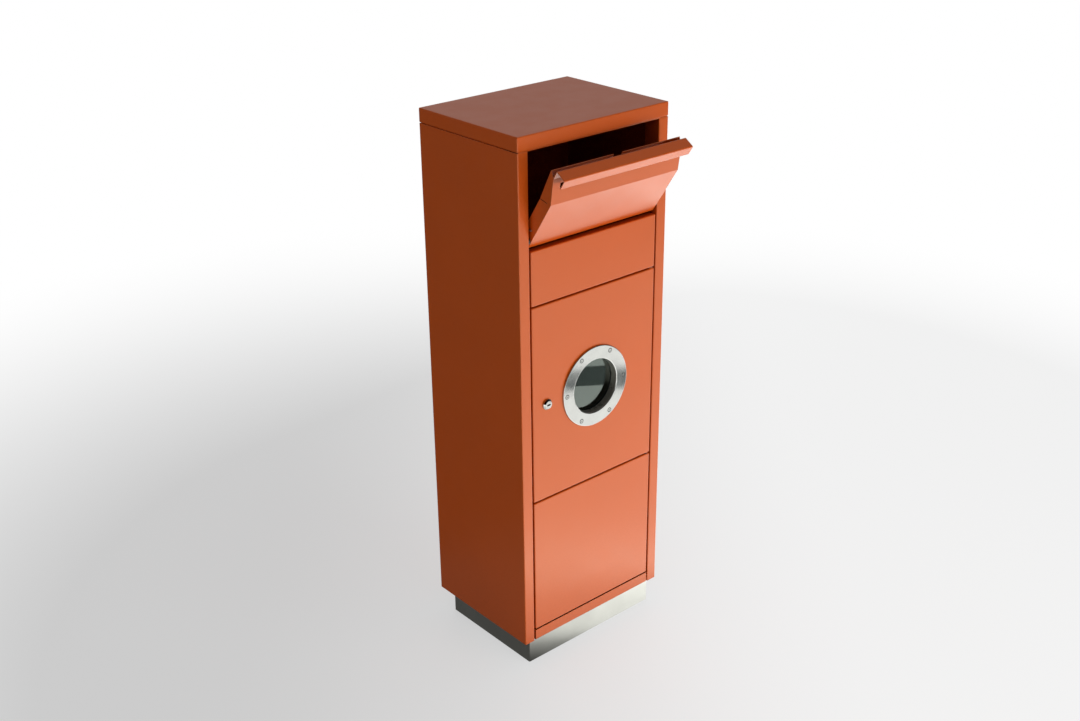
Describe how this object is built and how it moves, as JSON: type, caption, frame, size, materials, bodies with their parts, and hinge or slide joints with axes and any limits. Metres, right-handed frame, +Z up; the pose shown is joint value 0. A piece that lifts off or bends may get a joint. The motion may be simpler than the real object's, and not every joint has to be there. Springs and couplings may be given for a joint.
{
  "type": "parcel mailbox",
  "caption": "Free-standing parcel mailbox of folded painted steel on a recessed plinth, with a tilting deposit flap, a lockable door with a round porthole and fixed front panels.",
  "frame": {"origin": "on the floor, at the centre of the plinth's anchor holes, under the middle of the cabinet", "axes": "+X to the right along the front, seen from the front; -Y out of the front; +Z up"},
  "size_m": [0.41, 0.4126, 1.225],
  "materials": {
    "paint": "satin powder coat",
    "stainless": "brushed",
    "polished": "polished",
    "zinc": "zinc plated",
    "rubber": "matte",
    "glass": "clear",
    "nylon": "matte",
    "dark_plastic": "matte"
  },
  "bodies": {
    "cabinet": {"cabinet_shell": "paint", "top_cap": "paint", "roof_plate": "paint", "cap_screws": "zinc", "base_tray": "paint", "plinth": "stainless", "plinth_bolts": "zinc", "plinth_nuts": "zinc", "infill_panel": "paint", "lower_panel": "paint", "panel_spacers": "zinc", "panel_screws": "zinc", "panel_nuts": "zinc", "parcel_shelf": "paint", "pivot_bush_lower": "nylon", "pivot_bush_upper": "nylon", "door_stop_lower": "paint", "door_stop_upper": "paint", "door_buffers": "rubber", "flap_pivot_washers": "nylon", "flap_pivot_nuts": "zinc", "flap_pivot_left": "zinc", "flap_pivot_right": "zinc", "flap_stop_left": "rubber", "flap_stop_right": "rubber", "catch_housing": "dark_plastic", "catch_poles": "zinc", "catch_screws": "zinc"},
    "door": {"door_panel": "paint", "door_pivot_lower": "paint", "door_pivot_upper": "paint", "porthole_ring": "polished", "porthole_back_ring": "zinc", "porthole_gasket": "rubber", "porthole_glass": "glass", "porthole_screws": "zinc", "lock_barrel": "polished", "lock_nut": "zinc"},
    "lock": {"lock_plug": "polished", "lock_cam": "zinc", "cam_screw": "zinc"},
    "flap": {"flap_front": "paint", "flap_liner": "paint", "flap_rivets": "zinc"}
  },
  "joints": [
    {"name": "flap_hinge", "type": "hinge", "parent": "cabinet", "child": "flap", "pos_m": [0, -0.1485, 1.0095], "axis": [1, 0, 0], "range_deg": [-33.5, 0]},
    {"name": "door_hinge", "type": "hinge", "parent": "cabinet", "child": "door", "pos_m": [0.168, -0.1505, 0.64], "axis": [0, 0, 1], "range_deg": [0, 110]},
    {"name": "lock_turn", "type": "hinge", "parent": "door", "child": "lock", "pos_m": [-0.136, -0.1565, 0.64075], "axis": [0, 1, 0], "range_deg": [0, 90]}
  ]
}
